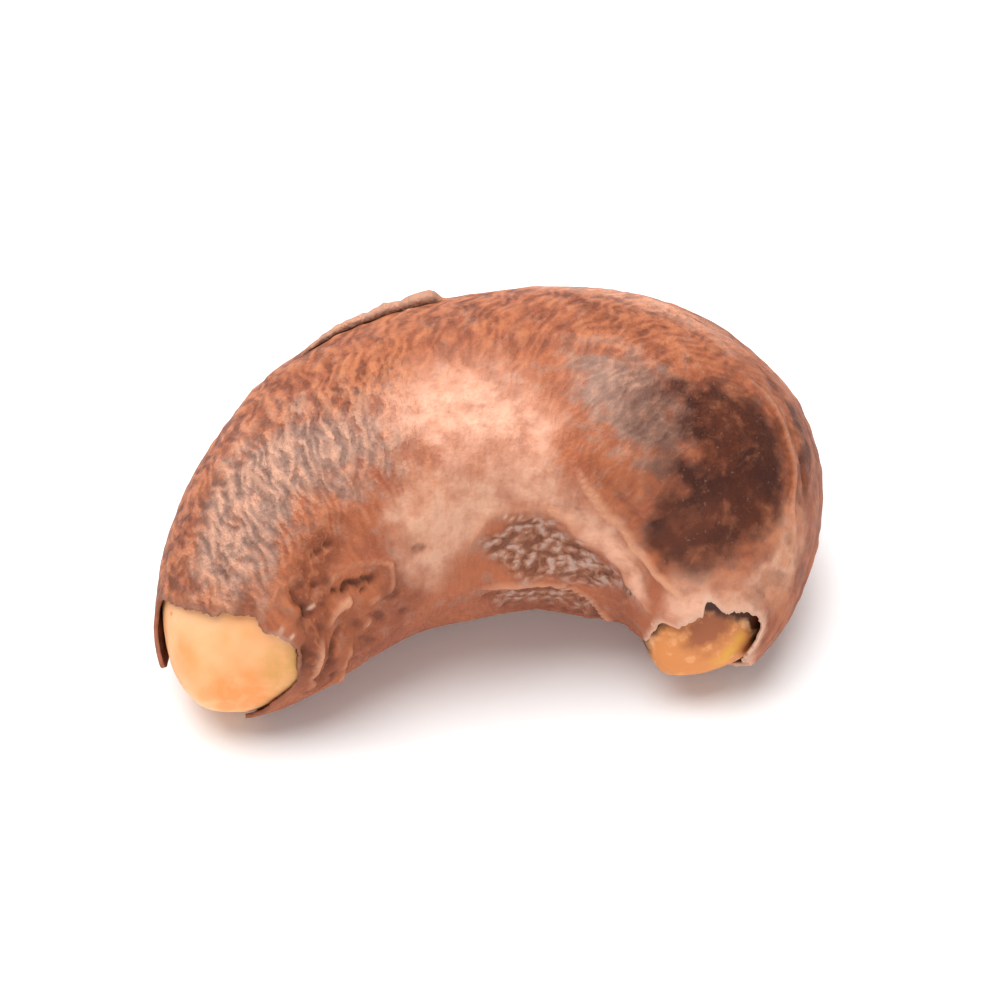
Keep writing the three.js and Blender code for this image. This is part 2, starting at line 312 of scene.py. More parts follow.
# Folds, ridges and pits of the skin, each along (share, angle) points. Height and width in mm.
# A steady one rises slowly from its first point and hardly wavers.
skinFolds = [
    # the lobe's two ridges down to the hole, with a groove between, and the pale creases over its scorched side
    {"path": [(0.66, 129), (0.706, 136), (0.765, 143), (0.841, 147), (0.90, 142), (0.937, 133)],
     "height": 0.3, "width": 0.21, "steady": True},
    {"path": [(0.68, 128), (0.77, 136), (0.84, 140), (0.89, 136)],
     "height": -0.12, "width": 0.18, "steady": True},
    {"path": [(0.70, 147), (0.765, 153), (0.83, 155), (0.88, 153)], "height": -0.08, "width": 0.2},
    {"path": [(0.64, 148), (0.70, 153), (0.765, 160), (0.83, 165), (0.88, 165), (0.93, 160)],
     "height": 0.14, "width": 0.24},
    {"path": [(0.755, 66), (0.787, 58), (0.835, 53), (0.868, 50), (0.902, 50), (0.93, 42)],
     "height": 0.18, "width": 0.17, "steady": True},
    {"path": [(0.80, 49), (0.84, 44), (0.88, 40)], "height": -0.12, "width": 0.25},
    {"path": [(0.70, 84), (0.737, 82), (0.77, 90), (0.802, 99), (0.84, 110)], "height": 0.08, "width": 0.16},
    {"path": [(0.79, 78), (0.83, 82), (0.87, 80)], "height": 0.06, "width": 0.2},
    {"path": [(0.78, 30), (0.86, 16), (0.92, 4), (0.96, -8)], "height": -0.1, "width": 0.21, "steady": True},
    {"path": [(0.76, 22), (0.86, 7), (0.93, -6)], "height": 0.08, "width": 0.24},
    # the inner side: ridges and grooves beside the scar
    {"path": [(0.44, 180), (0.54, 179), (0.60, 180), (0.66, 183), (0.72, 187), (0.76, 194), (0.80, 206)],
     "height": 0.26, "width": 0.22, "steady": True},
    {"path": [(0.47, 190), (0.541, 189), (0.62, 189), (0.704, 193), (0.77, 202)],
     "height": -0.2, "width": 0.24},
    {"path": [(0.42, 172), (0.44, 158), (0.49, 147), (0.54, 146), (0.60, 147), (0.68, 150), (0.78, 154)],
     "height": 0.14, "width": 0.22, "steady": True},
    {"path": [(0.325, 150), (0.34, 150)], "height": -0.14, "width": 0.17},
    # the leg: a seam and a lip beside the torn tip, and an eye-shaped pit with a raised rim
    {"path": [(0.137, 124), (0.126, 134), (0.112, 146), (0.092, 160), (0.083, 172)],
     "height": -0.3, "width": 0.21},
    {"path": [(0.086, 188), (0.092, 172), (0.102, 162), (0.122, 154), (0.159, 151), (0.185, 153)],
     "height": 0.28, "width": 0.2},
    {"path": [(0.108, 184), (0.117, 175), (0.133, 163), (0.155, 160)], "height": -0.3, "width": 0.17},
    {"path": [(0.14, 200), (0.149, 182), (0.171, 173), (0.209, 169)], "height": 0.24, "width": 0.24},
    {"path": [(0.172, 142), (0.18, 144)], "height": -0.26, "width": 0.15},
    {"path": [(0.19, 147), (0.197, 145)], "height": -0.3, "width": 0.17},
    {"path": [(0.205, 144), (0.216, 148)], "height": -0.4, "width": 0.2},
    {"path": [(0.211, 152), (0.218, 153)], "height": -0.22, "width": 0.13},
    {"path": [(0.227, 147), (0.238, 149)], "height": -0.32, "width": 0.16},
    {"path": [(0.165, 143), (0.21, 147), (0.245, 149)], "height": -0.1, "width": 0.34, "steady": True},
    {"path": [(0.165, 141), (0.183, 136), (0.215, 138), (0.254, 144), (0.27, 151)],
     "height": 0.16, "width": 0.19},
    {"path": [(0.27, 153), (0.256, 159), (0.217, 159)], "height": 0.13, "width": 0.2},
    {"path": [(0.18, 122), (0.19, 124), (0.204, 124)], "height": -0.24, "width": 0.22},
    {"path": [(0.147, 119), (0.12, 117), (0.108, 118)], "height": 0.14, "width": 0.16},
    {"path": [(0.145, 113), (0.155, 121), (0.15, 128)], "height": 0.12, "width": 0.17},
    {"path": [(0.20, 116), (0.23, 122), (0.24, 130)], "height": -0.1, "width": 0.2},
    {"path": [(0.22, 112), (0.26, 121), (0.27, 131)], "height": 0.1, "width": 0.2},
    # the back and the underside
    {"path": [(0.30, 2), (0.45, 0), (0.60, 1), (0.75, 0)], "height": 0.1, "width": 0.2},
    {"path": [(0.25, 236), (0.4, 232), (0.55, 230), (0.7, 234)], "height": 0.12, "width": 0.3},
]
# Scorched, worn and dusty areas inside (share, angle) outlines. Softness of the edge in mm.
skinPatches = [
    {"kind": "roast", "strength": 1.0, "soft": 1.0, "outline": [
        (0.735, 90), (0.765, 75), (0.795, 66), (0.825, 60), (0.851, 56), (0.88, 55), (0.904, 60),
        (0.919, 73), (0.931, 92), (0.925, 117), (0.898, 137), (0.85, 141), (0.833, 138), (0.837, 124),
        (0.831, 113), (0.812, 103), (0.768, 95)]},
    {"kind": "roast", "strength": 0.6, "soft": 1.3, "outline": [
        (0.68, 90), (0.70, 86), (0.735, 88), (0.77, 98), (0.80, 106), (0.83, 114), (0.845, 131),
        (0.82, 129), (0.775, 122), (0.73, 114), (0.69, 106)]},
    {"kind": "roast", "strength": 0.75, "soft": 0.4, "outline": [
        (0.79, 43), (0.82, 46), (0.86, 44), (0.885, 37), (0.865, 31), (0.82, 33)]},
    {"kind": "roast", "strength": 0.6, "soft": 0.3, "outline": [
        (0.70, 80), (0.715, 76), (0.735, 74), (0.73, 78), (0.71, 82)]},
    {"kind": "roast", "strength": 0.45, "soft": 1.2, "outline": [
        (0.28, 290), (0.45, 278), (0.58, 292), (0.50, 318), (0.34, 316)]},
    {"kind": "roast", "strength": 0.45, "soft": 1.0, "outline": [
        (0.62, 335), (0.72, 322), (0.82, 328), (0.76, 346), (0.66, 350)]},
    {"kind": "pale", "strength": 0.95, "soft": 1.5, "outline": [
        (0.36, 98), (0.40, 92), (0.45, 92), (0.51, 97), (0.56, 106), (0.61, 116), (0.60, 126), (0.52, 126),
        (0.46, 123), (0.41, 118), (0.375, 110)]},
    {"kind": "pale", "strength": 0.5, "soft": 0.7, "outline": [
        (0.56, 40), (0.66, 38), (0.74, 40), (0.74, 52), (0.64, 54), (0.56, 50)]},
    {"kind": "pale", "strength": 0.55, "soft": 0.6, "outline": [
        (0.70, 150), (0.78, 152), (0.86, 154), (0.90, 158), (0.88, 165), (0.80, 162), (0.72, 157)]},
    {"kind": "pale", "strength": 0.45, "soft": 0.6, "outline": [
        (0.93, 128), (0.95, 110), (0.965, 120), (0.955, 150), (0.935, 155)]},
    {"kind": "grey", "strength": 0.85, "soft": 1.7, "outline": [
        (0.08, 62), (0.09, 100), (0.115, 112), (0.15, 108), (0.20, 106), (0.26, 111), (0.32, 116),
        (0.35, 110), (0.34, 94), (0.28, 74), (0.22, 60), (0.14, 54)]},
    {"kind": "grey", "strength": 0.75, "soft": 1.3, "outline": [
        (0.61, 88), (0.66, 82), (0.74, 86), (0.79, 100), (0.80, 118), (0.74, 121), (0.68, 116),
        (0.62, 106)]},
    {"kind": "grey", "strength": 0.55, "soft": 1.5, "outline": [
        (0.30, 240), (0.55, 232), (0.75, 245), (0.70, 285), (0.45, 270)]},
    {"kind": "rusty", "strength": 0.85, "soft": 0.45, "outline": [
        (0.15, 117), (0.18, 117), (0.215, 119), (0.225, 127), (0.20, 133), (0.175, 138), (0.15, 146),
        (0.13, 158), (0.125, 170), (0.13, 190), (0.10, 195), (0.085, 180), (0.09, 158), (0.11, 142),
        (0.128, 128)]},
    {"kind": "rusty", "strength": 0.5, "soft": 0.8, "outline": [
        (0.14, 160), (0.20, 156), (0.28, 160), (0.32, 175), (0.24, 195), (0.15, 195)]},
    {"kind": "rusty", "strength": 0.55, "soft": 0.5, "outline": [
        (0.50, 196), (0.60, 196), (0.76, 204), (0.86, 208), (0.84, 222), (0.66, 216), (0.52, 208)]},
    {"kind": "scar", "strength": 1.0, "soft": 0.4, "outline": [
        (0.47, 157), (0.52, 153), (0.60, 153), (0.67, 157), (0.73, 162), (0.80, 166), (0.865, 169),
        (0.85, 174), (0.79, 178), (0.72, 181), (0.65, 179), (0.588, 176), (0.53, 170), (0.48, 164)]},
    {"kind": "scar", "strength": 0.9, "soft": 0.45, "outline": [
        (0.50, 189), (0.60, 187), (0.70, 191), (0.76, 198), (0.775, 205), (0.72, 205), (0.62, 203),
        (0.52, 201)]},
    {"kind": "smooth", "strength": 1.0, "soft": 0.8, "outline": [
        (0.90, 55), (0.925, 62), (0.94, 80), (0.94, 100), (0.925, 122), (0.90, 134), (0.93, 142),
        (0.97, 140), (0.97, 60), (0.95, 30), (0.90, 35)]},
    {"kind": "smooth", "strength": 1.0, "soft": 1.0, "outline": [
        (0.30, 132), (0.36, 122), (0.44, 127), (0.52, 130), (0.60, 130), (0.66, 134), (0.74, 145),
        (0.86, 150), (0.90, 165), (0.80, 160), (0.68, 148), (0.54, 146), (0.44, 156), (0.36, 170),
        (0.30, 160)]},
]
# Whitish crumbs of torn skin, at (share, angle)
skinCrumbs = [
    (0.137, 138), (0.094, 140), (0.09, 132), (0.40, 41), (0.44, 44), (0.53, 149), (0.545, 151),
    (0.565, 150), (0.60, 152), (0.93, 168),
]
roundMm = 0.11  # mm round the section for a degree of angle, on a middling section


def nearestOnPath(path, share, angle):  # mm from a path of (share, angle) points, or 99 where out of reach
    along = share * nutForm["length"]
    nearest = 99.0
    for (shareOne, angleOne), (shareTwo, angleTwo) in zip(path, path[1:]):
        startAlong, endAlong = shareOne * nutForm["length"], shareTwo * nutForm["length"]
        if along < min(startAlong, endAlong) - 1 or along > max(startAlong, endAlong) + 1:
            continue
        run, rise = endAlong - startAlong, (angleTwo - angleOne) * roundMm
        away = turnBetween(angle, angleOne) * roundMm
        part = min(max(((along - startAlong) * run + away * rise) / (run * run + rise * rise), 0), 1)
        nearest = min(nearest, math.hypot(along - startAlong - part * run, away - part * rise))
    return nearest


def patchAt(patch, share, angle, waver):  # 1 well inside the patch's outline and 0 outside it
    outline, soft = patch["outline"], patch["soft"]
    margin = (soft + 0.8) / nutForm["length"]
    if share < patch["low"] - margin or share > patch["high"] + margin:
        return 0.0
    here = (share * nutForm["length"], turnBetween(angle, outline[0][1]) * roundMm)
    nearest, inside = 99.0, False
    for (shareOne, angleOne), (shareTwo, angleTwo) in zip(outline, outline[1:] + outline[:1]):
        start = (shareOne * nutForm["length"], (angleOne - outline[0][1]) * roundMm)
        run, rise = (shareTwo - shareOne) * nutForm["length"], (angleTwo - angleOne) * roundMm
        along, away = here[0] - start[0], here[1] - start[1]
        part = min(max((along * run + away * rise) / (run * run + rise * rise), 0), 1)
        nearest = min(nearest, math.hypot(along - part * run, away - part * rise))
        if (start[0] > here[0]) != (start[0] + run > here[0]) and away < rise * along / run:
            inside = not inside
    return patch["strength"] * easeBetween(-1, 1, ((nearest if inside else -nearest) + waver) / soft)


for patch in skinPatches:
    patch["low"], patch["high"] = min(s for s, a in patch["outline"]), max(s for s, a in patch["outline"])


def skinDetail(latitude, angle, point, straight):  # height in mm, and the masks that its material reads
    share = shareAt(latitude)
    bent = straight + noise.noise_vector(straight * 0.5) * 0.3
    # long ripples run round the leg, leathery lumps cover the back, and the lobe's creases run lengthwise
    leg = easeBetween(0.03, 0.08, share) * (1 - easeBetween(0.36, 0.5, share)) * bumpAround(angle, 80, 46)
    lobe = easeBetween(0.6, 0.72, share)
    back = 0.3 + 0.7 * bumpAround(angle, 30, 50)
    turns = (straight.x - 0.35 * straight.y) / skin["ripplePitch"]
    turns += 0.8 * noise.noise(straight * 0.45) + 0.4 * noise.noise(straight * 1.1)
    ripple = bump(turns - round(turns), 0, 0.22)
    ripple *= easeBetween(-0.3, 0.2, noise.noise(straight * 0.8 + Vector((7, 0, 0))))
    lengthwise = bump(noise.noise(Vector((bent.x * 0.24, bent.y * 0.8 + 5, bent.z * 0.8))), 0, 0.06)
    lumps = noise.fractal(Vector((bent.x * 2.0, bent.y * 1.2, bent.z * 1.2)), 0.7, 2.0, 2)
    inner = 1 - 0.6 * bumpAround(angle, 165, 35)
    smoothness = (1 - 0.75 * lobe * bump(angle, 100, 70)) * (1 - 0.75 * leg) * inner
    # the lobe's outer side is smoother
    calm = 1 - 0.75 * easeBetween(0.68, 0.8, share) * bumpAround(angle, 0, 95)
    masks = {
        "ridge": leg * ripple + 0.4 * lobe * lengthwise,
        "lumps": lumps * back * smoothness,
        "rippled": max(leg, back) * inner * calm,
        "fold": 0.0,
    }
    height = skin["rippleHeight"] * leg * (ripple - 0.4) + skin["creaseHeight"] * lobe * lengthwise
    height += skin["lumpHeight"] * masks["lumps"]
    height += skin["swellHeight"] * noise.fractal(point * 0.42, 1.0, 2.0, 2)
    height += skin["grainHeight"] * noise.noise(point * 1.9)
    # folds waver a little and are uneven along their length
    waver = noise.noise_vector(point * 0.9) + 0.5 * noise.noise_vector(point * 2.1)
    wavered = (share + 0.01 * waver.x, angle + 3.5 * waver.y)
    uneven = min(max(0.85 + 0.9 * waver.z, 0.3), 1.25)
    for fold in skinFolds:
        steady = fold.get("steady", False)
        place = (share + 0.002 * waver.x, angle + waver.y) if steady else wavered
        strength = easeBetween(-0.02, 0.07, share - fold["path"][0][0]) if steady else uneven
        away = nearestOnPath(fold["path"], *place)
        masks["fold"] += strength * fold["height"] * bump(away, 0, fold["width"])
    ragged = 0.45 * noise.fractal(point * 0.9, 0.7, 2.0, 3)
    for kind in ("roast", "pale", "grey", "rusty", "smooth", "scar"):
        masks[kind] = sum(patchAt(patch, share, angle, ragged) for patch in skinPatches if patch["kind"] == kind)
    masks["crumb"] = 0.0
    for crumbShare, crumbAngle in skinCrumbs:
        away = math.hypot((share - crumbShare) * nutForm["length"], turnBetween(angle, crumbAngle) * roundMm)
        masks["crumb"] = max(masks["crumb"], bump(away, 0, skin["crumbRadius"]))
    height += masks["fold"] + skin["crumbHeight"] * masks["crumb"]
    height -= masks["scar"] * (skin["scarDepth"] - skin["scarUnevenness"] * noise.noise(point * 1.6))
    # crumpled beside the leg's tear
    masks["crumple"] = masks["rusty"] * (0.4 - abs(noise.fractal(point * 1.3, 0.8, 2.0, 2)) * 1.6)
    height += skin["crumpleHeight"] * masks["crumple"]
    return height, masks


def tearAt(table, angle, jag, seed):
    turn = math.radians(angle)
    ragged = noise.fractal(Vector((11.5 * math.cos(turn), 11.5 * math.sin(turn), seed)), 0.7, 2.0, 3)
    return readTable(table, angle % 360) + jag * ragged


def makeSkin():
    deselectAll()
    bpy.ops.mesh.primitive_grid_add(
        x_subdivisions=skin["stepsAlong"], y_subdivisions=skin["stepsAround"], size=1)
    piece = bpy.context.object
    piece.name = piece.data.name = "nutSkin"
    slit = skin["slit"]
    straights, masksByVertex = [], []
    for vertex in piece.data.vertices:  # the grid is rolled round the nut, and its seam is the slit
        far = vertex.co.y < 0  # the far side of the slit, by the back
        turn = vertex.co.y + 0.5
        angle = slit["angle"] - 360 * turn + 360 * skin["crowding"] * math.sin(2 * math.pi * turn) / (2 * math.pi)
        legEdge = tearAt(skin["legTear"], angle, skin["legJag"], 2)
        lobeEdge = tearAt(skin["lobeTear"], angle, skin["lobeJag"], 5)
        latitude = lerp(legEdge, lobeEdge, vertex.co.x + 0.5)
        share = shareAt(latitude)
        fromLeg, fromLobe = latitude - legEdge, lobeEdge - latitude
        opened = easeBetween(slit["from"], slit["from"] + 0.04, share)
        opened *= easeBetween(slit["to"], slit["to"] - 0.01, share)
        away = turnBetween(angle, slit["angle"])
        atSeam = far and away > -0.01
        if atSeam:  # the last column drops under the one beside it, as a wall that faces the split
            angle -= 1.0 * opened
        elif not far:
            angle += slit["gap"] * opened * bump(away, 0, 8)
        point, straight = placeOnNut(latitude, angle)
        height, masks = skinDetail(latitude, angle, point, straight)
        # the torn rims flare a little, most where flakes stand off under the leg's tip
        flare = bumpAround(angle, -14, 20) + 0.2 * bumpAround(angle, 208, 20)
        height += (0.02 + 0.3 * flare) * bump(fromLeg, 0, 4)
        height += 0.12 * bump(fromLobe, 0, 3) * (0.4 + bumpAround(angle, 110, 60))
        # the far side of the slit stands up, unevenly, and the near side has sunk
        if far:
            uneven = 1 + 0.35 * noise.noise(Vector((share * 45, 3, 0)))
            uneven += 0.3 * noise.noise(Vector((share * 130, 3, 0)))
            standing = uneven * lerp(0.3, 1.1, (share - slit["from"]) / 0.16)
            height += slit["lift"] * standing * opened * (-0.1 if atSeam else bump(away, 0, slit["reach"]))
        else:
            height -= slit["sink"] * opened * bump(away, 0, 6)
        point = placeOnNut(latitude, angle, height)[0]
        point.z = max(point.z, 0)
        vertex.co = point * mm
        straights.append(straight)
        pale = 0.15 + 0.6 * bumpAround(angle, 134, 9)
        masks["rusty"] += 0.8 * bump(fromLeg, 0, 1.0)
        # the skin beside the slit is pale where torn and also gets painted light, and so does its inner side
        paleSlitEdgeAndLight = opened * bump(away, 0, 2.5) * (0.8 if far else 0.1)
        masks["tornEdgeAndSlitLight"] = max(pale * bump(fromLeg, 0, 0.9), bump(fromLobe, 0, 1.8), paleSlitEdgeAndLight)
        masks["slitSidePaintedLight"] = opened * bump(away, 0, 9)
        masksByVertex.append(masks)
    makeAttribute(piece.data, "straight", "FLOAT_VECTOR", straights)
    for name in masksByVertex[0]:
        makeAttribute(piece.data, name, "FLOAT", [masks[name] for masks in masksByVertex])
    bpy.ops.object.mode_set(mode="EDIT")
    bpy.ops.mesh.select_all(action="SELECT")
    bpy.ops.mesh.remove_doubles(threshold=skin["mergeDistance"] * mm)
    bpy.ops.object.mode_set(mode="OBJECT")
    bpy.ops.object.shade_smooth()
    return piece


kernelPiece = makeKernel()
print("stage 2: kernel", len(kernelPiece.data.polygons), "faces")
skinPiece = makeSkin()
print("stage 3: skin", len(skinPiece.data.polygons), "faces")


# Materials
def paint(hexColour):  # sRGB hex to linear
    channels = [int(hexColour[i : i + 2], 16) / 255 for i in (0, 2, 4)]
    return [c / 12.92 if c <= 0.04045 else ((c + 0.055) / 1.055) ** 2.4 for c in channels] + [1.0]


def addNode(tree, kind, inputs=None, **settings):  # an input is a fixed value or another node's output
    node = tree.nodes.new(kind)
    for name, value in settings.items():
        setattr(node, name, value)
    for name, value in (inputs or {}).items():
        if isinstance(value, bpy.types.NodeSocket):
            tree.links.new(value, node.inputs[name])
        else:
            node.inputs[name].default_value = value
    return node


def startMaterial(name):
    material = bpy.data.materials.new(name)
    material.use_nodes = True
    tree = material.node_tree
    shader = tree.nodes["Principled BSDF"]
    return material, tree, shader


skinFinish = {
    "crest": "C37A52",  # worn crests of the wrinkles
    "foldCrest": "D89A78",
    "greyCrest": "DAA68C",  # the same on the leg
    "crown": "F4B89B",  # palest, on the crown
    "salmon": "AA603E",
    "reddish": "995439",
    # painted shade for hollows, fold bottoms and crumpled pits, and the colour of dark pores
    "paintedShadeAndPore": "693621",
    "greyGround": "9E7B6B",  # between the crests on the leg
    # painted shade between the crests on the grey leg
    "greyPaintedShade": "785B50",
    "rusty": "793C24",
    "smooth": "D7A387",
    "roast": "5A2A17",
    "roastDeep": "3F1A0D",
    "roastCrest": "824B33",
    "scarPale": "C6AA9D",
    "scarBrown": "A37159",
    "scarPit": "6A4232",
    # pale torn skin, also used as painted light on the skin beside the slit
    "tornRimAndSlitLight": "DDB199",
    "inside": "562B1A",
}


def mixColours(tree, part, first, second):
    return addNode(tree, "ShaderNodeMix", {0: part, 6: first, 7: second}, data_type="RGBA").outputs[2]


def mapRange(tree, value, low, high, to=(0.0, 1.0)):
    inputs = {"Value": value, "From Min": low, "From Max": high, "To Min": to[0], "To Max": to[1]}
    return addNode(tree, "ShaderNodeMapRange", inputs).outputs[0]


def calculate(tree, operation, first, second):
    return addNode(tree, "ShaderNodeMath", {0: first, 1: second}, operation=operation).outputs[0]


def readMask(tree, name):
    return addNode(tree, "ShaderNodeAttribute", attribute_name=name).outputs["Fac"]


def placeInMm(tree):  # Object coordinates in mm
    place = addNode(tree, "ShaderNodeTexCoord").outputs["Object"]
    return addNode(tree, "ShaderNodeMapping", {"Vector": place, "Scale": (1000, 1000, 1000)}).outputs[0]


def dressSkin():
    # roasted cashew testa: a dry, papery seed coat, matt, darker where it met the hot drum
    material, tree, shader = startMaterial("roastedTesta")

    def over(part, colour, finish):  # a finish laid over a colour
        return mixColours(tree, part, colour, paint(skinFinish[finish]))

    def times(first, second):
        return calculate(tree, "MULTIPLY", first, second)

    def plus(first, second):
        return calculate(tree, "ADD", first, second)

    place = placeInMm(tree)
    straight = addNode(tree, "ShaderNodeAttribute", attribute_name="straight").outputs["Vector"]
    masks = {name: readMask(tree, name) for name in (
        "ridge", "lumps", "rippled", "fold", "scar", "crumple", "roast",
        "pale", "grey", "rusty", "smooth", "crumb", "tornEdgeAndSlitLight")}
    # blotches about 3 mm across, mottling of 0.8 mm and pores of 0.15 mm
    blotches = addNode(tree, "ShaderNodeTexNoise", {"Vector": place, "Scale": 0.36, "Detail": 3.0}).outputs["Fac"]
    mottle = addNode(tree, "ShaderNodeTexNoise", {
        "Vector": place, "Scale": 1.3, "Detail": 5.0, "Roughness": 0.6}).outputs["Fac"]
    pores = addNode(tree, "ShaderNodeTexNoise", {"Vector": place, "Scale": 6.0, "Detail": 2.0}).outputs["Fac"]
    # short ripples round the nut: waves 0.42 mm apart, broken up by lumps of about 0.4 by 0.7 mm
    turned = addNode(tree, "ShaderNodeMapping", {"Vector": straight, "Rotation": (0, 0, 0.33)}).outputs[0]
    waves = addNode(tree, "ShaderNodeTexWave", {
        "Vector": turned, "Scale": 0.74, "Distortion": 8.0, "Detail": 0.0, "Detail Scale": 1.4}).outputs["Fac"]
    stretched = addNode(tree, "ShaderNodeMapping", {"Vector": turned, "Scale": (2.5, 1.45, 1.45)}).outputs[0]
    breaks = addNode(tree, "ShaderNodeTexNoise", {
        "Vector": stretched, "Scale": 1.0, "Detail": 3.0, "Roughness": 0.6}).outputs["Fac"]
    ripples = mapRange(tree, plus(times(waves, 0.25), times(breaks, 1.6)), 0.66, 1.18)
    # the scar's pale crumbs lie in rows along the nut, each about 0.9 by 0.35 mm
    rows = addNode(tree, "ShaderNodeMapping", {"Vector": straight, "Scale": (0.5, 1.3, 1.3)}).outputs[0]
    crumbs = addNode(tree, "ShaderNodeTexNoise", {"Vector": rows, "Scale": 2.6, "Detail": 3.0}).outputs["Fac"]
    pebbles = addNode(tree, "ShaderNodeTexVoronoi", {"Vector": rows, "Scale": 2.2}).outputs["Distance"]
    crumbs = calculate(tree, "SUBTRACT", plus(crumbs, 0.3), times(pebbles, 0.7))

    colour = over(mapRange(tree, blotches, 0.4, 0.6), paint(skinFinish["salmon"]), "reddish")
    broken = plus(masks["grey"], mapRange(tree, mottle, 0.36, 0.64, (-0.4, 0.4)))
    colour = over(mapRange(tree, broken, 0.1, 0.8, (0.0, 0.95)), colour, "greyGround")
    colour = over(times(masks["smooth"], mapRange(tree, mottle, 0.36, 0.6, (0.4, 0.9))), colour, "smooth")
    # the ripples' crests are pale and worn, and painted shade darkens the hollows between them and where the
    # lumps dip
    exposed = mapRange(tree, masks["smooth"], 0.0, 1.0, (1.0, 0.25))
    rippled = times(times(masks["rippled"], exposed), mapRange(tree, pores, 0.35, 0.6, (0.7, 1.1)))
    pitShade = times(mapRange(tree, ripples, 0.58, 0.15, (0.0, 0.9)), rippled)
    pitShade = plus(pitShade, mapRange(tree, masks["lumps"], 0.0, -0.3, (0.0, 0.35)))
    pitShadeColour = over(masks["grey"], paint(skinFinish["paintedShadeAndPore"]), "greyPaintedShade")
    colour = mixColours(tree, mapRange(tree, pitShade, 0.0, 1.0, (0.0, 0.9)), colour, pitShadeColour)
    crest = plus(times(masks["ridge"], 0.7), mapRange(tree, masks["lumps"], 0.04, 0.3, (0.0, 0.35)))
    crest = plus(crest, times(mapRange(tree, ripples, 0.55, 0.95, (0.0, 0.75)), rippled))
    crestColour = over(masks["grey"], paint(skinFinish["crest"]), "greyCrest")
    colour = mixColours(tree, mapRange(tree, crest, 0.05, 1.0, (0.0, 0.85)), colour, crestColour)
    colour = over(times(masks["pale"], mapRange(tree, mottle, 0.36, 0.64, (0.4, 1.0))), colour, "crown")
    colour = over(times(masks["rusty"], mapRange(tree, mottle, 0.42, 0.6, (1.0, 0.4))), colour, "rusty")
    # painted shade darkens the folds' bottoms, and their tops are paler
    colour = over(mapRange(tree, masks["fold"], -0.04, -0.24, (0.0, 0.92)), colour, "paintedShadeAndPore")
    colour = over(mapRange(tree, masks["fold"], 0.06, 0.28, (0.0, 0.75)), colour, "foldCrest")
    # painted shade in the crumpled skin's pits, and worn pale crests
    colour = over(mapRange(tree, masks["crumple"], 0.0, -0.35, (0.0, 0.85)), colour, "paintedShadeAndPore")
    colour = over(mapRange(tree, masks["crumple"], 0.2, 0.4, (0.0, 0.6)), colour, "crest")
    # scorched patches are broken up at their edges, and folds and crests stay paler in them
    scorch = plus(masks["roast"], mapRange(tree, mottle, 0.36, 0.64, (-0.15, 0.15)))
    spared = plus(times(crest, 0.25), mapRange(tree, masks["fold"], 0.03, 0.2, (0.0, 0.6)))
    scorch = calculate(tree, "SUBTRACT", scorch, spared)
    scorched = over(mapRange(tree, blotches, 0.42, 0.6), paint(skinFinish["roast"]), "roastDeep")
    scorched = over(mapRange(tree, crest, 0.3, 1.0, (0.0, 0.7)), scorched, "roastCrest")
    colour = mixColours(tree, mapRange(tree, scorch, 0.1, 0.95), colour, scorched)
    scarColour = over(mapRange(tree, crumbs, 0.28, 0.46), paint(skinFinish["scarPit"]), "scarBrown")
    scarColour = over(mapRange(tree, crumbs, 0.48, 0.64, (0.0, 0.85)), scarColour, "scarPale")
    colour = mixColours(tree, times(masks["scar"], 0.75), colour, scarColour)
    # dark pores and pale dust
    colour = over(times(mapRange(tree, pores, 0.6, 0.68, (0.0, 0.3)), rippled), colour, "paintedShadeAndPore")
    colour = over(mapRange(tree, pores, 0.34, 0.26, (0.0, 0.12)), colour, "scarPale")
    # pale torn rims, and painted light on the skin beside the slit
    colour = over(times(masks["tornEdgeAndSlitLight"], 0.7), colour, "tornRimAndSlitLight")
    colour = over(masks["crumb"], colour, "tornRimAndSlitLight")
    tree.links.new(colour, shader.inputs["Base Color"])
    tree.links.new(mapRange(tree, mottle, 0.3, 0.7, (0.52, 0.7)), shader.inputs["Roughness"])
    shader.inputs["Specular IOR Level"].default_value = 0.25
    relief = plus(times(times(ripples, rippled), 0.07), plus(times(mottle, 0.08), times(pores, 0.03)))  # in mm
    relief = plus(relief, times(times(crumbs, masks["scar"]), 0.3))
    bumpNode = addNode(tree, "ShaderNodeBump", {"Strength": 1.0, "Distance": 1.0 * mm, "Height": relief})
    tree.links.new(bumpNode.outputs[0], shader.inputs["Normal"])
    return material


def dressPlain(name, hexColour, roughness):  # the skin's torn rim and its inner side, with fibres 0.3 mm apart, pale at the torn rims and with painted light beside the slit
    material, tree, shader = startMaterial(name)
    place = placeInMm(tree)
    fibres = addNode(tree, "ShaderNodeTexNoise", {"Vector": place, "Scale": 3.0, "Detail": 4.0}).outputs["Fac"]
    darker = [c * 0.6 for c in paint(hexColour)[:3]] + [1.0]
    colour = mixColours(tree, mapRange(tree, fibres, 0.35, 0.65), paint(hexColour), darker)
    # pale at the torn rims, and painted light on the inner side beside the slit
    paleRimAndSlitLight = calculate(tree, "MAXIMUM", readMask(tree, "slitSidePaintedLight"), readMask(tree, "tornEdgeAndSlitLight"))
    colour = mixColours(tree, paleRimAndSlitLight, colour, paint(skinFinish["tornRimAndSlitLight"]))
    tree.links.new(colour, shader.inputs["Base Color"])
    shader.inputs["Roughness"].default_value = roughness
    shader.inputs["Specular IOR Level"].default_value = 0.15
    return material


kernelFinish = {
    "cream": "F0B886",
    "golden": "E89C60",
    "orange": "E8914E",
    "olive": "CC9B50",
    "bud": "D08246",
    "browned": "985434",
    "stripe": "DBA83C",
    "stainAndPaintedShade": "4A2212",  # brown residue where the skin has covered it, darkened further with painted shade
    "speck": "A8602E",
}
tintStrengths = {"orange": 0.8, "olive": 0.7, "bud": 0.9, "browned": 0.9, "stripe": 0.9, "stainAndPaintedShade": 1.0}


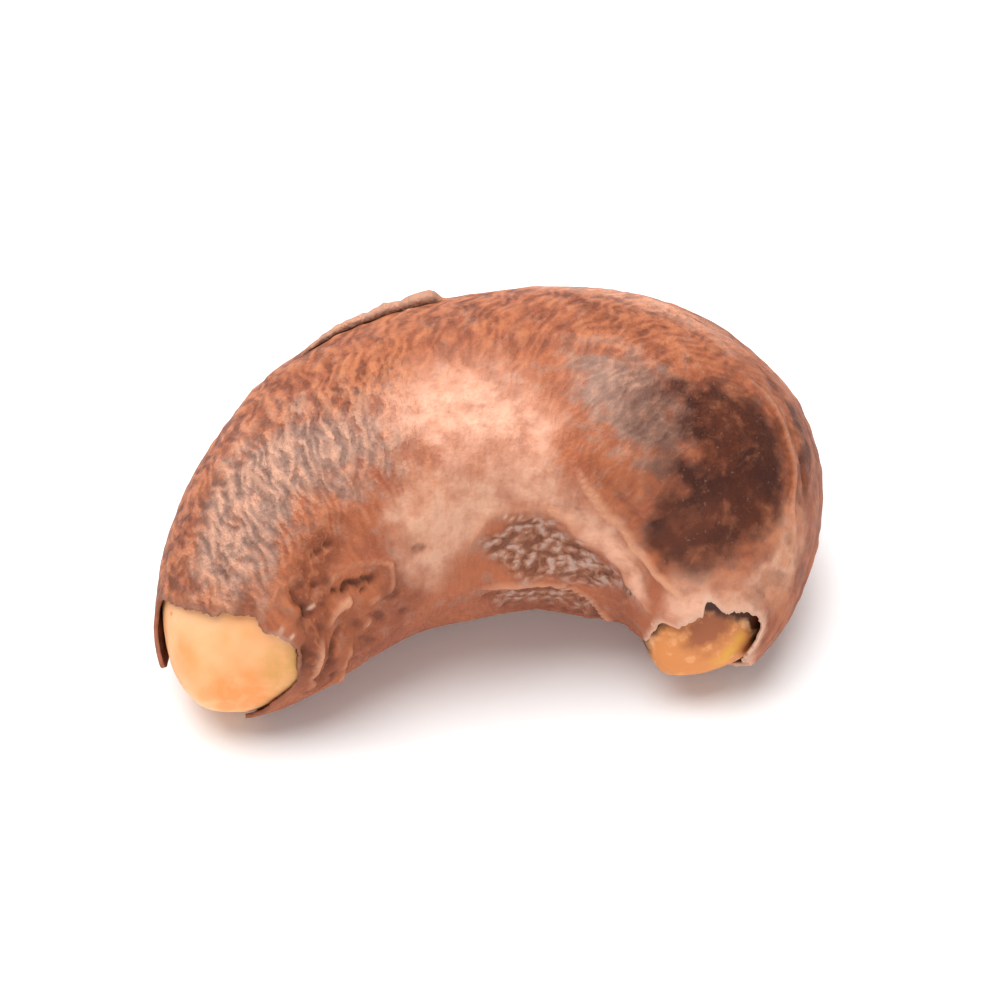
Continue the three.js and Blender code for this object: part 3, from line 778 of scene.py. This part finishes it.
def dressKernel():
    # roasted cashew flesh: smooth and waxy, a little light goes in, faint oily gloss
    material, tree, shader = startMaterial("roastedCashewFlesh")
    place = placeInMm(tree)
    # clouds about 3 mm across, fibres of 0.6 mm, and specks 0.1 mm across and over 1 mm apart
    clouds = addNode(tree, "ShaderNodeTexNoise", {"Vector": place, "Scale": 0.35, "Detail": 3.0}).outputs["Fac"]
    part = mapRange(tree, clouds, 0.42, 0.64)
    colour = mixColours(tree, part, paint(kernelFinish["cream"]), paint(kernelFinish["golden"]))
    fibres = addNode(tree, "ShaderNodeTexNoise", {"Vector": place, "Scale": 1.6, "Detail": 4.0}).outputs["Fac"]
    # the tints, among them the brown residue with painted shade where the skin covers the flesh
    for name, strength in tintStrengths.items():
        part = calculate(tree, "MULTIPLY", readMask(tree, name), mapRange(tree, fibres, 0.35, 0.65, (0.55, 1.45)))
        part = mapRange(tree, part, 0.2, 0.8, (0.0, strength))
        colour = mixColours(tree, part, colour, paint(kernelFinish[name]))
    dots = addNode(tree, "ShaderNodeTexVoronoi", {"Vector": place, "Scale": 0.75}).outputs["Distance"]
    colour = mixColours(tree, mapRange(tree, dots, 0.05, 0.09, (0.5, 0.0)), colour, paint(kernelFinish["speck"]))
    tree.links.new(colour, shader.inputs["Base Color"])
    shader.inputs["Roughness"].default_value = 0.45
    shader.inputs["Specular IOR Level"].default_value = 0.22
    shader.inputs["Subsurface Weight"].default_value = 0.25
    shader.inputs["Subsurface Radius"].default_value = (1.0, 0.45, 0.2)
    shader.inputs["Subsurface Scale"].default_value = 0.8 * mm
    grain = addNode(tree, "ShaderNodeTexNoise", {"Vector": place, "Scale": 3.5, "Detail": 5.0}).outputs["Fac"]
    bumpNode = addNode(tree, "ShaderNodeBump", {"Strength": 0.5, "Distance": 0.03 * mm, "Height": grain})
    tree.links.new(bumpNode.outputs[0], shader.inputs["Normal"])
    return material


kernelPiece.data.materials.append(dressKernel())
skinPiece.data.materials.append(dressSkin())
skinPiece.data.materials.append(dressPlain("tornTestaRim", skinFinish["reddish"], 0.8))
skinPiece.data.materials.append(dressPlain("testaInside", skinFinish["inside"], 0.6))
# the sheet gets its wall inwards; the rim shows the tear and the inner side is darker
applyModifier(
    skinPiece, "SOLIDIFY", thickness=skin["thickness"] * mm, offset=-1, use_rim=True,
    material_offset=2, material_offset_rim=1,
)
print("stage 4: materials and wall", len(skinPiece.data.polygons), "faces")

for piece, node in ((kernelPiece, "kernel"), (skinPiece, "skin")):
    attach(piece, "root")
    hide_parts(node)


# Floor, light and camera
studio = {
    "elevation": 52,
    "lens": 130,
    "frameWidth": 39.0,  # mm across the picture at the nut
    "aim": (0.2, 0.0, 4.6),
    "floorSize": 0.8,  # this, the lights' places and their sizes are in metres
    "worldStrength": 0.32,
    "keyLight": {"place": (-0.05, 0.08, 0.26), "size": 0.36, "power": 1.4},
    "fillLight": {"place": (0.05, -0.3, 0.07), "size": 0.25, "power": 0.42},
    "sensorWidth": 36,
}


def addAreaLight(name, place, size, power):
    light = bpy.data.lights.new(name, "AREA")
    light.shape, light.size, light.energy = "DISK", size, power
    lamp = bpy.data.objects.new(name, light)
    lamp.location = place
    middle = Vector((0, 0, 4 * mm))
    lamp.rotation_euler = (middle - Vector(place)).to_track_quat("-Z", "Y").to_euler()
    bpy.context.collection.objects.link(lamp)


def makeStudio():
    deselectAll()
    bpy.ops.mesh.primitive_plane_add(size=studio["floorSize"], location=(0, 0, 0))
    floor = bpy.context.object
    floor.name = "floor"
    material, tree, shader = startMaterial("paleSweep")  # matt white paper sweep
    shader.inputs["Base Color"].default_value = paint("FFFFFF")
    shader.inputs["Roughness"].default_value = 0.9
    shader.inputs["Specular IOR Level"].default_value = 0.1
    floor.data.materials.append(material)
    world = bpy.data.worlds.new("studio")
    world.use_nodes = True
    world.node_tree.nodes["Background"].inputs["Color"].default_value = paint("FFFFFF")
    world.node_tree.nodes["Background"].inputs["Strength"].default_value = studio["worldStrength"]
    bpy.context.scene.world = world
    for name in ("keyLight", "fillLight"):
        addAreaLight(name, **studio[name])
    elevation = math.radians(studio["elevation"])
    distance = studio["frameWidth"] * studio["lens"] / studio["sensorWidth"] * mm
    aim = Vector(studio["aim"]) * mm
    cameraData = bpy.data.cameras.new("camera")
    cameraData.lens = studio["lens"]
    cameraData.clip_start = 5 * mm
    camera = bpy.data.objects.new("camera", cameraData)
    camera.location = aim + Vector((0, -math.cos(elevation), math.sin(elevation))) * distance
    camera.rotation_euler = (aim - camera.location).to_track_quat("-Z", "Y").to_euler()
    bpy.context.collection.objects.link(camera)
    bpy.context.scene.camera = camera
    bpy.context.scene.view_settings.view_transform = "Standard"


makeStudio()
print("stage 5: studio")
